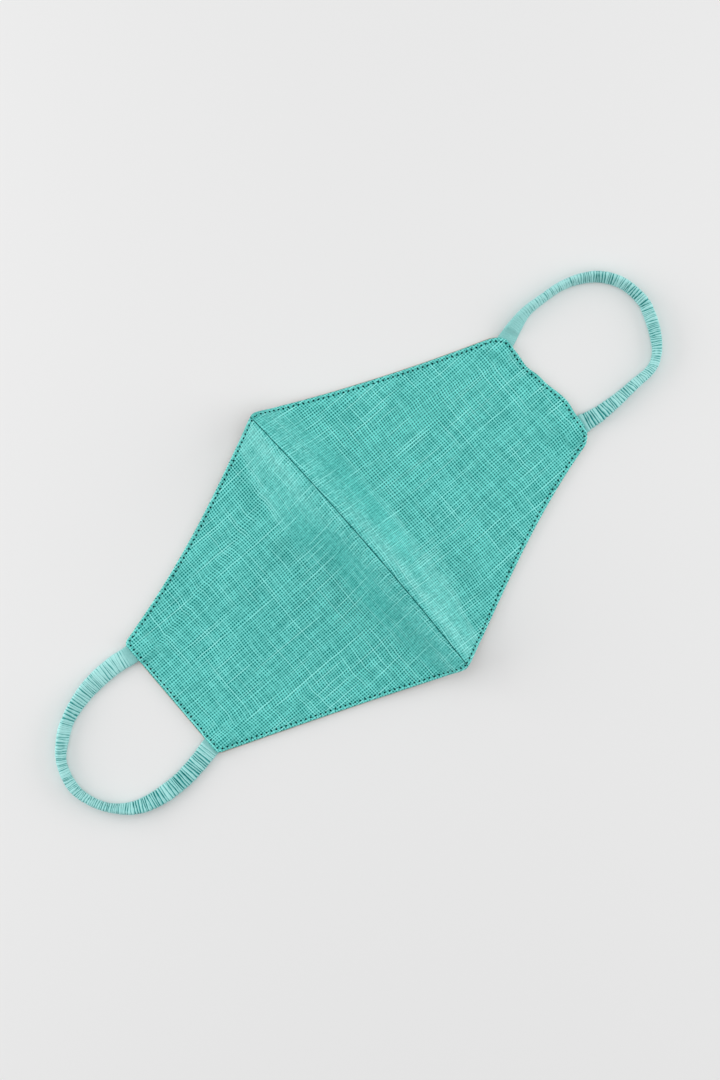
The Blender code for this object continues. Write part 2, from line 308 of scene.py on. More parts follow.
# Each strap runs from its nose tail round to its chin tail. Its tails are sewn in between
# linen and lining, so the linen rises over them at the ear corners.
strap_reach = {"left": 61.8 * MM, "right": 59.5 * MM}
tail_length = 8.5 * MM
tail_ease = 4.0 * MM
tail_thickness = 1.2 * MM
tail_inset = {("nose", "left"): 0.70, ("chin", "left"): 0.54,
              ("nose", "right"): 0.46, ("chin", "right"): 0.82}
# out past the ear edge, up between the tails, roll in degrees, share of the full width
strap_way = {
    "left": (
        (-1.000, 1.000, 0.0, 1.00), (0.020, 1.000, 0.0, 1.04), (0.156, 1.040, 0.0, 1.03),
        (0.337, 1.042, 9.0, 1.01), (0.519, 0.983, 27.0, 0.95), (0.703, 0.844, 44.0, 0.88),
        (0.827, 0.664, 46.0, 0.86), (0.946, 0.387, 61.0, 0.79), (1.002, -0.038, 59.0, 0.80),
        (0.966, -0.417, 67.0, 0.76), (0.876, -0.731, 63.0, 0.76), (0.734, -0.975, 39.0, 0.89),
        (0.549, -1.092, 17.0, 0.97), (0.338, -1.117, 6.0, 1.01), (0.156, -1.070, 0.0, 1.04),
        (0.020, -1.011, 0.0, 1.06), (-1.000, -0.975, 0.0, 1.00),
    ),
    "right": (
        (-1.000, 0.960, 0.0, 0.98), (-0.052, 1.042, 14.0, 0.96), (0.090, 1.113, 32.0, 0.90),
        (0.236, 1.188, 54.0, 0.78), (0.395, 1.179, 64.0, 0.73), (0.587, 1.130, 64.0, 0.73),
        (0.762, 0.975, 54.0, 0.78), (0.887, 0.748, 50.0, 0.82), (0.970, 0.419, 54.0, 0.81),
        (0.995, 0.011, 52.0, 0.83), (0.970, -0.251, 51.0, 0.85), (0.903, -0.603, 52.0, 0.84),
        (0.812, -0.889, 64.0, 0.77), (0.697, -1.036, 62.0, 0.75), (0.522, -1.051, 54.0, 0.79),
        (0.332, -1.064, 42.0, 0.86), (0.142, -1.046, 21.0, 0.95), (0.016, -0.998, 8.0, 1.04),
        (-1.000, -0.980, 0.0, 1.00),
    ),
}


def strap_points(side):
    """The strap's way in metres, with its roll in radians and its share of the full width."""
    tails = []
    for end in ("nose", "chin"):
        y = corner_y(end, side)
        tails.append(y - math.copysign(tail_inset[(end, side)] * strap_width, y))
    middle, half = (tails[0] + tails[1]) / 2, (tails[0] - tails[1]) / 2
    points = []
    for out, up, roll, width in strap_way[side]:
        out = out * (strap_reach[side] if out > 0 else tail_length)
        points.append((way_out[side] * (panel_width[side] + out), middle + up * half,
                       math.radians(roll), width))
    return np.array(points)


def tail_rise(x, y):
    """How far the linen is lifted over the four strap tails."""
    rise = np.zeros(np.shape(x))
    for side in ("left", "right"):
        points = strap_points(side)
        for edge, inner in ((points[1], points[0]), (points[-2], points[-1])):
            tail = inner[:2] - edge[:2]
            length = np.hypot(*tail)
            along = ((x - edge[0]) * tail[0] + (y - edge[1]) * tail[1]) / length
            across = np.abs((x - edge[0]) * tail[1] - (y - edge[1]) * tail[0]) / length
            ease = 1 - eased((along - length - cloth_gap) / tail_ease)
            ease = ease * (1 - eased((across - strap_width / 2) / tail_ease))
            rise = np.maximum(rise, (tail_thickness + cloth_gap) * ease)
    return rise


def linen_height(x, y):
    return mask_height(x, y) + tail_rise(x, y)


# Each linen panel is one wall of cloth with its edges turned under and pressed. The edge
# stitching draws in a groove just inside the outline, and the centre seam puckers the cloth.
stitch_inset = 1.65 * MM
stitch_length = 2.43 * MM
groove_depth = 0.20 * MM
groove_width = 0.55 * MM
hem_swell = 0.14 * MM
hem_swell_place = 0.80 * MM
hem_swell_width = 0.50 * MM
pucker_height = 0.20 * MM
pucker_size = 1.3 * MM
pucker_reach = 2.6 * MM
pucker_stretch = 0.15
ripple_height = 0.10 * MM
ripple_size = 9.0 * MM
ripple_inset = 8.0 * MM
hem_ripple_size = 3.4 * MM
hem_ripple_reach = 3.0 * MM
seam_gap = 0.012 * MM
seam_roll = 0.14 * MM
edge_places = np.array((0, 0.05, 0.15, 0.3, 0.5, 0.8, 1.1, 1.35, 1.65, 1.95, 2.3, 2.8, 3.5)) * MM
seam_places = np.array((0, 0.04, 0.12, 0.25, 0.45, 0.7, 1.0, 1.4, 1.9)) * MM
linen_columns = 150
linen_rows = 176
outline_points = {"edge": 1400, "ear": 600}
spill_ease = 25.0 * MM
seam_level = 1.0 * MM
steep_lean = 0.20
grain_bow = 2.6 * MM
grain_bow_reach = 45.0 * MM


def outline(side):
    """The panel's outline from the chin tip round the ear edge to the nose tip."""
    x = np.linspace(seam_x(-half_seam), way_out[side] * panel_width[side],
                    outline_points["edge"])
    chin = np.column_stack((x, edge_y("chin", x)))
    nose = np.column_stack((x, edge_y("nose", x)))[::-1]
    y = np.linspace(chin[-1, 1], nose[0, 1], outline_points["ear"])
    ear = np.column_stack((ear_x(side, y), y))
    return np.concatenate((chin, ear, nose))


def from_outline(points, line):
    """Distance of each point to the outline, and how far along it the nearest place is."""
    steps = np.hypot(*np.diff(line, axis=0).T)
    travelled = np.concatenate(((0.0,), np.cumsum(steps)))
    distance = np.empty(len(points))
    along = np.empty(len(points))
    batch = 2000
    for start in range(0, len(points), batch):
        part = points[start:start + batch]
        gaps = np.hypot(part[:, None, 0] - line[None, :, 0], part[:, None, 1] - line[None, :, 1])
        nearest = gaps.argmin(axis=1)
        distance[start:start + batch] = gaps[np.arange(len(part)), nearest]
        along[start:start + batch] = travelled[nearest]
    return distance, along


def panel_plan(side, columns, rows, gap, spill):
    """Plan positions of a panel's grid, with close rows and columns along its edges. Spill
    is how far each edge reaches past the outline."""
    width = panel_width[side]
    inner = np.linspace(seam_places[-1], width - edge_places[-1], columns)
    across = np.concatenate((seam_places[:-1], inner, width - edge_places[::-1][1:])) / width
    middle = np.linspace(0.0, 1.0, rows)
    down = np.concatenate((edge_places[:-1], np.full(rows, edge_places[-1]),
                           edge_places[::-1][1:]))
    share = np.concatenate((np.zeros(len(edge_places) - 1), middle, np.ones(len(edge_places) - 1)))
    y = np.zeros((len(share), len(across)))
    x = np.tile(across * way_out[side] * width, (len(share), 1))
    settling_rounds = 8
    for _ in range(settling_rounds):
        start = seam_x(y) + way_out[side] * gap / 2
        x = start + (ear_x(side, y) + way_out[side] * spill["ear"] - start) * across
        from_tip = eased(np.abs(x) / spill_ease)
        chin = edge_y("chin", x) - spill["chin"] * from_tip
        nose = edge_y("nose", x) + spill["nose"] * from_tip
        inside = np.minimum(down, edge_places[-1])[:, None]
        low, high = chin + edge_places[-1], nose - edge_places[-1]
        body = low + (high - low) * share[:, None]
        y = np.where(share[:, None] <= 0, chin + inside,
                     np.where(share[:, None] >= 1, nose - inside, body))
    return x, y


def surface_normal(x, y, height):
    """Normals of a height, level across the seam."""
    step = 0.2 * MM
    slope_x = (height(x + step, y) - height(x - step, y)) / (2 * step)
    slope_y = (height(x, y + step) - height(x, y - step)) / (2 * step)
    slope_x = slope_x * eased(np.abs(x - seam_x(y)) / seam_level)
    normal = np.stack((-slope_x, -slope_y, np.ones_like(x)), axis=-1)
    return normal / np.linalg.norm(normal, axis=-1, keepdims=True)


def soft_noise(x, y, size, seed):
    """Smooth noise in the plane, from -1 to 1, a different one for each seed."""
    x, y = np.broadcast_arrays(x, y)
    flat = [noise.noise((u / size + seed * 7.3, v / size - seed * 3.1, seed * 1.7))
            for u, v in zip(np.ravel(x), np.ravel(y))]
    return np.array(flat).reshape(np.shape(x))


def cloth_wall(name, side, depth, wall, height, gap, columns, rows, relief, spill):
    """One closed wall of cloth round a middle surface; relief gives the outer and inner
    faces' fine shape from the distances to the outline and the seam."""
    x, y = panel_plan(side, columns, rows, gap, spill)
    flat = np.column_stack((x.ravel(), y.ravel()))
    to_edge, along = from_outline(flat, outline(side))
    to_edge, along = to_edge.reshape(x.shape), along.reshape(x.shape)
    to_edge[0, :] = to_edge[-1, :] = to_edge[:, -1] = 0.0
    to_seam = np.abs(x - seam_x(y)) - gap / 2
    to_seam[:, 0] = 0.0
    normal = surface_normal(x, y, height)
    middle = np.stack((x, y, height(x, y)), axis=-1) - normal * (depth + wall / 2)
    nearest = np.clip(np.minimum(to_edge / (wall / 2), to_seam / seam_roll), 0.0, 1.0)
    half = wall / 2 * np.sqrt(np.clip(1 - (1 - nearest) ** 2, 0.0, 1.0))
    outer_relief, inner_relief = relief(x, y, to_edge, to_seam)
    outer = middle + normal * (half + outer_relief)[..., None]
    inner = middle - normal * (half + inner_relief)[..., None]
    inner[..., 2] = np.maximum(inner[..., 2], 0.0)

    high, wide = x.shape
    front = np.arange(high * wide).reshape(high, wide)
    back = front.copy()
    back[1:-1, 1:-1] = high * wide + np.arange((high - 2) * (wide - 2)).reshape(high - 2, wide - 2)
    points = np.concatenate((outer.reshape(-1, 3), inner[1:-1, 1:-1].reshape(-1, 3)))

    def quads(index, turned):
        corners = (index[:-1, :-1], index[:-1, 1:], index[1:, 1:], index[1:, :-1])
        if turned:
            corners = corners[::-1]
        return np.stack([c.ravel() for c in corners], axis=1)

    faces = np.concatenate((quads(front, side == "left"), quads(back, side == "right")))
    mesh = bpy.data.meshes.new(name)
    mesh.from_pydata(points.tolist(), [], faces.tolist())
    mesh.shade_smooth()
    piece = bpy.data.objects.new(name, mesh)
    scene.collection.objects.link(piece)

    steep = mesh.attributes.new("steep", "FLOAT", "POINT")
    leaning = eased((1 - normal[..., 2]) / steep_lean)
    steep.data.foreach_set("value", np.concatenate(
        (leaning.ravel(), leaning[1:-1, 1:-1].ravel())).astype(np.float32))
    run = np.hypot(np.diff(outer[..., 0], axis=1), np.diff(outer[..., 2], axis=1))
    from_ear = np.cumsum(run[:, ::-1], axis=1)[:, ::-1]
    from_ear = np.concatenate((from_ear, np.zeros((high, 1))), axis=1)
    cloth_u = x[:, -1:] - way_out[side] * from_ear
    bow = grain_bow * np.clip(1 - np.abs(x) / grain_bow_reach, 0.0, 1.0) ** 2
    cloth_v = y - bow
    per_point = {
        "cloth": np.stack((cloth_u, cloth_v), axis=-1),
        "hem": np.stack((to_edge, along), axis=-1),
        "seam": np.stack((to_seam, y), axis=-1),
    }
    for layer_name, values in per_point.items():
        flat_values = np.concatenate((values.reshape(-1, 2), values[1:-1, 1:-1].reshape(-1, 2)))
        layer = mesh.uv_layers.new(name=layer_name)
        layer.uv.foreach_set("vector", flat_values[faces.ravel()].astype(np.float32).ravel())
    return piece


def linen_relief(x, y, to_edge, to_seam):
    """Hem swell, stitched groove, seam puckers and small ripples of the linen's two faces."""
    groove = groove_depth * np.exp(-((to_edge - stitch_inset) / groove_width) ** 2)
    hem = hem_swell * np.exp(-((to_edge - hem_swell_place) / hem_swell_width) ** 2)
    pucker = soft_noise(x * pucker_stretch, y, pucker_size, 3) * np.exp(-to_seam / pucker_reach)
    ripple = soft_noise(x, y, ripple_size, 5) * eased(to_edge / ripple_inset)
    hem_ripple = soft_noise(x, y, hem_ripple_size, 8) * np.exp(-to_edge / hem_ripple_reach)
    outer = hem - groove + pucker_height * pucker + ripple_height * (ripple + hem_ripple)
    outer = outer * eased(to_edge / (0.5 * MM))
    return outer, np.zeros_like(outer)


def new_cloth(name, roughness, gloss, sheen, sheen_tint):
    """A cloth material: its tree's start, and its shader with the settings that don't vary."""
    material = bpy.data.materials.new(name)
    material.use_nodes = True
    shader = material.node_tree.nodes["Principled BSDF"]
    shader.inputs["Roughness"].default_value = roughness
    shader.inputs["Specular IOR Level"].default_value = gloss
    shader.inputs["Sheen Weight"].default_value = sheen
    shader.inputs["Sheen Roughness"].default_value = 0.45
    shader.inputs["Sheen Tint"].default_value = sheen_tint
    return material, shader


def uv_place(material, layer):
    """The two coordinates of one of the piece's UV maps, in metres."""
    start = material.node_tree.nodes.new("ShaderNodeUVMap")
    start.uv_map = layer
    split = Wire(start.outputs[0]).node("ShaderNodeSeparateXYZ", None, {0: Wire(start.outputs[0])})
    return split, Wire(split.socket.node.outputs[1])


def noise_along(thread, stretch, seed):
    """Noise that differs from thread to thread and changes slowly along each."""
    return thread.vector(stretch, seed).noise(1.0)


def linen_material(name, colours, across_pitch, up_pitch):
    """Plain-woven linen: uneven threads over and under, open holes, slubs and a pressed hem. Its
    colour holds painted shade in the holes, on the threads' sides and in the seam's groove, and
    painted highlight on the hem and in streaks by the seam.
    """
    material, shader = new_cloth(name, 0.46, 0.8, 0.12, (1.0, 1.0, 0.96, 1.0))
    across, up = uv_place(material, "cloth")
    to_edge, _ = uv_place(material, "hem")
    to_seam, _ = uv_place(material, "seam")
    here = across.vector(up)
    steep = Wire(material.node_tree.nodes.new("ShaderNodeAttribute").outputs["Fac"])
    steep.socket.node.attribute_name = "steep"

    bend = (across * 35.0).vector(up * 45.0, 2.0).noise(1.0)
    spread = (across * 10.0).vector(up * 270.0, 5.0).noise(1.0)
    drift = (across * 30.0).vector(up * 30.0, 8.0).noise(1.0)
    wobble = (across * 210.0).vector(up * 160.0, 11.0).noise(1.0)
    waver = (across * 160.0).vector(up * 230.0, 12.0).noise(1.0)
    a = across / across_pitch + 1.5 * bend + 0.22 * wobble
    b = up / up_pitch + 0.8 * spread + 1.3 * drift + 0.30 * waver
    warp, weft = a.whole(), b.whole()
    from_warp = (a - warp - 0.5).size()
    from_weft = (b - weft - 0.5).size()
    warp_tone = noise_along(warp * 1.731, up * 48.0, 3.0).between(0.30, 0.70)
    weft_tone = noise_along(weft * 1.617, across * 42.0, 9.0).between(0.30, 0.70)
    warp_slub = noise_along(warp * 1.37, up * 34.0, 21.0).between(0.56, 0.76)
    weft_slub = noise_along(weft * 1.13, across * 30.0, 33.0).between(0.56, 0.78)
    hem = 1 - to_edge.between(1.1 * MM, 1.5 * MM)
    near_seam = 1 - to_seam.between(2.0 * MM, 18.0 * MM)
    # Short lighter weft streaks near the seam are painted highlight, standing in for the lit crests
    # of the seam's puckers.
    pucker_highlight = noise_along(weft * 2.13, across * 140.0, 51.0).between(0.46, 0.66)
    pucker_highlight = 0.8 * pucker_highlight * (1 - to_seam.between(4.0 * MM, 14.0 * MM))
    open_weave = (1 - 0.50 * steep) * (1 - 0.3 * hem) * (1 - 0.40 * near_seam)
    warp_gap = (from_warp - 0.19 - 0.07 * warp_tone).between(-0.07, 0.10)
    weft_gap = (from_weft - 0.185 - 0.08 * weft_tone).between(-0.07, 0.10)
    hole_a, hole_b = (a + 0.5).whole(), (b + 0.5).whole()
    warp_open = noise_along(hole_a * 2.37, up * 220.0, 14.0).between(0.25, 0.70)
    weft_open = noise_along(hole_b * 2.61, across * 190.0, 17.0).between(0.28, 0.70)
    cell = noise_along(hole_a * 1.71, hole_b * 1.83, 27.0).between(0.30, 0.70)
    loose = here.noise(240.0, 1.0).between(0.36, 0.56)
    hole = warp_gap * weft_gap * (0.18 + 0.54 * cell + 0.16 * warp_open + 0.18 * weft_open)
    hole = 1.58 * hole * (0.50 + 0.50 * loose)
    warp_crown = 1 - 36.0 * from_warp * from_warp
    weft_crown = 1 - 36.0 * from_weft * from_weft
    warp_line = warp_slub * warp_crown
    weft_line = weft_slub * weft_crown
    weft_line = weft_line.math("MAXIMUM", weft_line, pucker_highlight * weft_crown)
    line = (0.75 * warp_line).math("MAXIMUM", 0.75 * warp_line, weft_line)
    line = 0.8 * line.math("MAXIMUM", line, 0.0)
    over = (warp + weft).math("MODULO", warp + weft, 2.0).size()
    tone = (0.35 + 0.3 * over) * warp_tone + (0.65 - 0.3 * over) * weft_tone
    from_top = over * from_warp + (1 - over) * from_weft
    patch = here.noise(38.0, 2.0)
    grain = (across * 420.0).vector(up * 1500.0, 19.0).noise(1.0, 1.0)
    # The hem is painted lighter: partly for its closer weave, partly as painted highlight where the
    # turned edge faces the lamps.
    light = 0.61 + 0.10 * hem + 0.14 * (tone - 0.5) + 0.03 * (patch - 0.5)
    # The from_top term paints each thread darker towards its sides: painted shade of its round
    # section.
    light = light + 0.09 * (loose - 0.6) - 0.9 * from_top * from_top
    colour = light.between(0.0, 1.0).mixed(colours["shade"], colours["light"])
    closed = (grain + 0.12 * (tone - 0.5)).between(0.34, 0.66)
    closed = closed.mixed(colours["closed"], colours["grain"])
    colour = open_weave.mixed(closed, colour)
    colour = line.mixed(colour, colours["line"])
    # The holes and the gaps between threads are painted dark: painted shade where the cloth beneath
    # lies in shadow, with less of it on steep cloth, by the seam and on the hem.
    dark = hole + warp_gap * (0.13 + 0.15 * warp_open) + weft_gap * (0.07 + 0.13 * weft_open)
    dark = dark - 0.6 * line
    dark = dark.math("MAXIMUM", dark * open_weave, 0.0)
    dark = dark.math("MINIMUM", dark, 1.0)
    # The dark line along the centre seam is painted shade: a dark diffuse colour mixed in over the
    # seam's groove, of uneven width.
    seam_shade_width = (up * 400.0).vector(0.0, 7.0).noise(1.0, 1.0)
    groove = 1 - (to_seam - 0.28 * MM * seam_shade_width).between(0.02 * MM, 0.20 * MM)
    height = light + 0.4 * line + 0.3 * grain - 0.7 * hole * open_weave
    raised = height.node("ShaderNodeBump", None, {
        "Strength": 0.35, "Distance": 0.12 * MM, "Height": height})
    tree = material.node_tree
    tree.links.new(colour.socket, shader.inputs["Base Color"])
    tree.links.new(raised.socket, shader.inputs["Normal"])
    cloth = Wire(shader.outputs["BSDF"])
    # A dark diffuse shader stands in for the shade inside the holes.
    inside = cloth.node("ShaderNodeBsdfDiffuse", None, {"Color": colours["hole"]})
    cloth_with_gap_shade = cloth.node("ShaderNodeMixShader", None, {0: dark, 1: cloth, 2: inside})
    seam = cloth.node("ShaderNodeBsdfDiffuse", None, {"Color": colours["seam"]})
    seam_shade = (0.50 + 0.8 * seam_shade_width) * groove
    cloth_with_seam_shade = cloth.node("ShaderNodeMixShader", None, {0: seam_shade, 1: cloth_with_gap_shade, 2: seam})
    tree.links.new(cloth_with_seam_shade.socket, tree.nodes["Material Output"].inputs["Surface"])
    return material


warp_pitch = 1.24 * MM
weft_pitch = 1.20 * MM
linen = linen_material("teal linen", {
    "shade": (0.010, 0.34, 0.30, 1.0),
    "light": (0.200, 0.95, 0.88, 1.0),
    "line": (0.36, 0.98, 0.93, 1.0),
    "closed": (0.018, 0.36, 0.326, 1.0),
    "grain": (0.140, 0.69, 0.637, 1.0),
    # hole: painted shade in the holes between threads
    "hole": (0.000, 0.180, 0.165, 1.0),
    # seam: painted shade in the centre seam's groove
    "seam": (0.000, 0.150, 0.140, 1.0),
}, warp_pitch, weft_pitch)
linen_spill = {"ear": 0.0, "nose": 0.0, "chin": 0.0}
for side in ("left", "right"):
    panel = cloth_wall("linen_" + side, side, 0.0, linen_wall, linen_height, seam_gap,
                       linen_columns, linen_rows, linen_relief, linen_spill)
    panel.data.materials.append(linen)
    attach(panel, "root")
    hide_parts("panel_" + side)


# A row of lockstitches in teal thread holds linen and lining together round the whole mask.
# Each stitch is a short bar of thread between two needle holes, each a flat dark dot of painted
# shade. This is the row on the linen's face.
stitch_radius = 0.20 * MM
stitch_half_share = 0.40
needle_radius = 0.52 * MM
needle_flatness = 0.35
stitch_line_step = 0.4 * MM
stitch_line_margin = 0.5 * MM
stitch_inset_slack = 0.06 * MM
stitch_from_seam = 0.3 * MM
stitch_sunk = 0.06 * MM


def stitching():
    """Node group: lays stitches along a line of vertices, with a flat dark dot of painted shade at
    each needle hole.
    """
    tree = bpy.data.node_groups.new("stitching", "GeometryNodeTree")
    tree.interface.new_socket("Line", in_out="INPUT", socket_type="NodeSocketGeometry")
    for name in ("Stitch length", "Thread radius", "Needle hole radius"):
        tree.interface.new_socket(name, in_out="INPUT", socket_type="NodeSocketFloat")
    for name in ("Thread", "Hole shade"):
        tree.interface.new_socket(name, in_out="INPUT", socket_type="NodeSocketMaterial")
    tree.interface.new_socket("Stitches", in_out="OUTPUT", socket_type="NodeSocketGeometry")
    given = tree.nodes.new("NodeGroupInput")
    line, length, radius, hole_radius, thread, hole = [Wire(socket) for socket in given.outputs[:6]]
    curve = line.node("GeometryNodeMeshToCurve", None, {"Mesh": line})
    holes = curve.node("GeometryNodeResampleCurve", {"mode": "LENGTH"},
                       {"Curve": curve, "Length": length})
    tangent = line.node("GeometryNodeInputTangent")
    along = tangent.node("FunctionNodeAlignRotationToVector", {"axis": "X"}, {"Vector": tangent})
    half = length.node("ShaderNodeVectorMath", {"operation": "SCALE"},
                       {0: tangent, "Scale": 0.5 * length})
    middles = holes.node("GeometryNodeSetPosition", None, {"Geometry": holes, "Offset": half})
    ball = line.node("GeometryNodeMeshUVSphere", None, {"Segments": 8, "Rings": 6, "Radius": 1.0})
    stretch = (stitch_half_share * length).vector(radius, radius)
    uneven = line.node("FunctionNodeRandomValue", {"data_type": "FLOAT"},
                       {2: 0.85, 3: 1.15, "Seed": 4}, 1)
    stretch = stretch.node("ShaderNodeVectorMath", {"operation": "SCALE"},
                           {0: stretch, "Scale": uneven})
    bars = middles.node("GeometryNodeInstanceOnPoints", None, {
        "Points": middles, "Instance": ball, "Rotation": along, "Scale": stretch})
    bars = bars.node("GeometryNodeRealizeInstances", None, {"Geometry": bars})
    bars = bars.node("GeometryNodeSetMaterial", None, {"Geometry": bars, "Material": thread})
    dot = line.node("GeometryNodeMeshUVSphere", None, {"Segments": 10, "Rings": 6, "Radius": 1.0})
    dot_size = hole_radius.vector(hole_radius, needle_flatness * hole_radius)
    hole_shade_dots = holes.node("GeometryNodeInstanceOnPoints", None, {
        "Points": holes, "Instance": dot, "Scale": dot_size})
    hole_shade_dots = hole_shade_dots.node("GeometryNodeRealizeInstances", None, {"Geometry": hole_shade_dots})
    hole_shade_dots = hole_shade_dots.node("GeometryNodeSetMaterial", None, {"Geometry": hole_shade_dots, "Material": hole})
    joined = tree.nodes.new("GeometryNodeJoinGeometry")
    tree.links.new(bars.socket, joined.inputs[0])
    tree.links.new(hole_shade_dots.socket, joined.inputs[0])
    tree.links.new(joined.outputs[0], tree.nodes.new("NodeGroupOutput").inputs[0])
    return tree


def stitch_line(side):
    """The line that the stitches follow inside the outline, in the plan."""
    line = outline(side)
    steps = np.concatenate(((0.0,), np.cumsum(np.hypot(*np.diff(line, axis=0).T))))
    wanted = np.arange(stitch_line_margin, steps[-1] - stitch_line_margin, stitch_line_step)
    even = np.column_stack([np.interp(wanted, steps, part) for part in line.T])
    forward = np.gradient(even, axis=0)
    forward /= np.hypot(*forward.T)[:, None]
    inward = np.column_stack((-forward[:, 1], forward[:, 0])) * way_out[side]
    inset = even + inward * stitch_inset
    to_edge, _ = from_outline(inset, line)
    to_seam = np.abs(inset[:, 0] - seam_x(inset[:, 1]))
    inset = inset[(to_edge > stitch_inset - stitch_inset_slack) & (to_seam > stitch_from_seam)]
    smoothing_rounds = 6
    for _ in range(smoothing_rounds):
        inset[1:-1] = (inset[:-2] + 2 * inset[1:-1] + inset[2:]) / 4
    return inset


def sewn_line(name, points, values):
    """Turn a line of points into stitches, as a finished mesh."""
    mesh = bpy.data.meshes.new(name)
    mesh.from_pydata(points.tolist(), [(i, i + 1) for i in range(len(points) - 1)], [])
    piece = bpy.data.objects.new(name, mesh)
    scene.collection.objects.link(piece)
    maker = piece.modifiers.new("stitching", "NODES")
    maker.node_group = stitching()
    for item in maker.node_group.interface.items_tree:
        if item.in_out == "INPUT" and item.name in values:
            maker[item.identifier] = values[item.name]
    scene.view_layers[0].update()
    evaluated = piece.evaluated_get(bpy.context.evaluated_depsgraph_get())
    sewn = bpy.data.meshes.new_from_object(evaluated)
    piece.modifiers.clear()
    piece.data = sewn
    sewn.shade_smooth()
    return piece


thread_material, thread_shader = new_cloth("teal thread", 0.6, 0.25, 0.1, (0.9, 1.0, 1.0, 1.0))
thread_shader.inputs["Base Color"].default_value = (0.09, 0.55, 0.50, 1.0)
# The needle holes are flat, nearly black dots: painted shade in the holes.
needle_hole_shade_material, needle_hole_shade_shader = new_cloth("painted needle hole shade", 0.95, 0.1, 0.0, (1.0, 1.0, 1.0, 1.0))
needle_hole_shade_shader.inputs["Base Color"].default_value = (0.000, 0.035, 0.035, 1.0)


def stitch_row(name, side, height, depth):
    """A row of stitches along one panel's hem, at a depth under a height."""
    x, y = stitch_line(side).T
    points = np.column_stack((x, y, height(x, y))) - surface_normal(x, y, height) * depth
    return sewn_line(name, points, {
        "Stitch length": stitch_length, "Thread radius": stitch_radius,
        "Needle hole radius": needle_radius, "Thread": thread_material, "Hole shade": needle_hole_shade_material})


for side in ("left", "right"):
    stitches = stitch_row("hem_stitches_" + side, side, linen_height, groove_depth - stitch_sunk)
    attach(stitches, "root")


# The lining is a plain, closely woven natural cotton cut like the linen. Its pressed edge
# shows as a hairline where it rolls out past the linen.
lining_columns = 90
lining_rows = 110
lining_pucker_height = 0.12 * MM
lining_pucker_size = 1.5 * MM
lining_pucker_reach = 3.0 * MM
lining_material, lining_shader = new_cloth(
    "natural cotton", 0.88, 0.25, 0.15, (1.0, 0.98, 0.94, 1.0))
lining_across, lining_up = uv_place(lining_material, "cloth")
cotton_pitch = 0.45 * MM
cotton_a = lining_across / cotton_pitch
cotton_b = lining_up / cotton_pitch
cotton_warp = (cotton_a - cotton_a.whole() - 0.5).size()
cotton_weft = (cotton_b - cotton_b.whole() - 0.5).size()
cotton_over = cotton_a.whole() + cotton_b.whole()
cotton_over = cotton_over.math("MODULO", cotton_over, 2.0).size()
cotton_round = 1 - cotton_over * cotton_warp - (1 - cotton_over) * cotton_weft
cotton_patch = lining_across.vector(lining_up).noise(60.0, 3.0)
# The cotton's colour is painted darker towards each thread's sides, painted shade of the round
# threads, mixed with a patchy tone.
cotton_colour = (0.5 * cotton_round + 0.5 * cotton_patch).mixed(
    (0.40, 0.34, 0.27, 1.0), (0.66, 0.60, 0.51, 1.0))
cotton_bump = cotton_round.node("ShaderNodeBump", None, {
    "Strength": 0.4, "Distance": 0.10 * MM, "Height": cotton_round})
lining_material.node_tree.links.new(cotton_colour.socket, lining_shader.inputs["Base Color"])
lining_material.node_tree.links.new(cotton_bump.socket, lining_shader.inputs["Normal"])


def lining_relief(x, y, to_edge, to_seam):
    """The lining's stitched groove, on the face that lies against the wearer."""
    groove = groove_depth * np.exp(-((to_edge - stitch_inset) / groove_width) ** 2)
    pucker = soft_noise(x * pucker_stretch, y, lining_pucker_size, 13)
    pucker = pucker * np.exp(-to_seam / lining_pucker_reach)
    inner = -groove + lining_pucker_height * pucker * eased(to_seam / (0.5 * MM))
    return np.zeros_like(inner), inner


rolled_out = 0.35 * MM
lining_spill = {
    "left": {"ear": rolled_out, "nose": 0.0, "chin": rolled_out},
    "right": {"ear": 0.0, "nose": rolled_out, "chin": 0.0},
}
for side in ("left", "right"):
    piece = cloth_wall("cotton_" + side, side, linen_wall + cloth_gap, lining_wall, mask_height,
                       cloth_gap, lining_columns, lining_rows, lining_relief,
                       lining_spill[side])
    piece.data.materials.append(lining_material)
    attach(piece, "root")
    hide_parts("lining_" + side)


# The same lockstitches come out underneath, where they draw a groove into the lining's hem.
# They are sewn in the same teal thread, along the same line.
for side in ("left", "right"):
    stitches = stitch_row("lining_stitches_" + side, side, mask_height, stack - groove_depth)
    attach(stitches, "root")


# Each ear loop is a tube of fine cotton gathered tightly over flat elastic. It lies flat by
# the mask and stands on its edge round the far end, with pleats across its whole width.
strap_thickness = 3.4 * MM
ring_step = 0.17 * MM
section_sides = 44
section_power = 2.5
pleat_start = 1.5 * MM
# share of the strap's length, pleat pitch in mm, pleat depth
gather_rows = {
    "left": (
        (0.0, 1.8, 0.0), (0.06, 1.6, 0.10), (0.085, 1.2, 0.80), (0.25, 1.3, 0.90),
        (0.40, 1.0, 0.80), (0.55, 1.0, 0.90), (0.66, 1.2, 1.10), (0.80, 1.4, 1.35),
        (0.92, 1.5, 1.35), (1.0, 1.5, 1.20),
    ),
    "right": (
        (0.0, 1.6, 0.0), (0.06, 1.5, 0.16), (0.10, 1.3, 0.34), (0.17, 1.1, 0.55),
        (0.27, 1.0, 0.75), (0.36, 1.1, 1.05), (0.50, 1.1, 1.10), (0.62, 1.0, 0.95),
        (0.72, 1.0, 0.75), (0.80, 1.3, 1.00), (0.90, 1.6, 1.20), (1.0, 1.6, 1.0),
    ),
}
pleat_spread = (0.55, 1.45)
pleat_depths = (0.5, 0.8, 1.0, 1.1, 1.4)
pleat_slant = 0.4 * MM
pleat_wander = 0.16 * MM
# how far a pleat's valley reaches ahead and back, as shares of the pleat
valley_reach = (0.12, 0.22)
